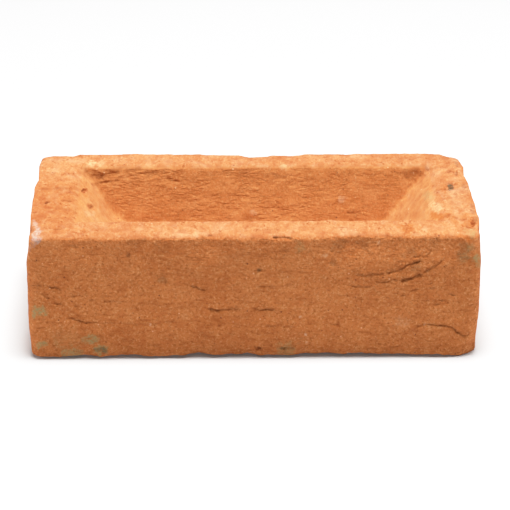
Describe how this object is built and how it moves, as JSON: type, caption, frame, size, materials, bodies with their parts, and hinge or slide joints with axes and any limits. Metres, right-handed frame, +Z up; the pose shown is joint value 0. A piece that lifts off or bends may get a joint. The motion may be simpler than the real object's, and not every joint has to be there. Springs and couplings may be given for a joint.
{
  "type": "frogged clay brick",
  "caption": "Solid fired clay brick with worn arrises and a deep tapered frog in its upper bed, laid in mortar to build walls.",
  "frame": {"origin": "middle of the lower bed, on the floor that the brick lies on", "axes": "+X along the stretcher, +Y across the header from the front stretcher to the back one, +Z up out of the frog"},
  "size_m": [0.215, 0.1024, 0.065],
  "materials": {
    "fired_clay": "matt sandy orange fired clay with fine creases, pits and weathered spots"
  },
  "bodies": {
    "root": {"brick": "fired_clay"}
  },
  "joints": []
}
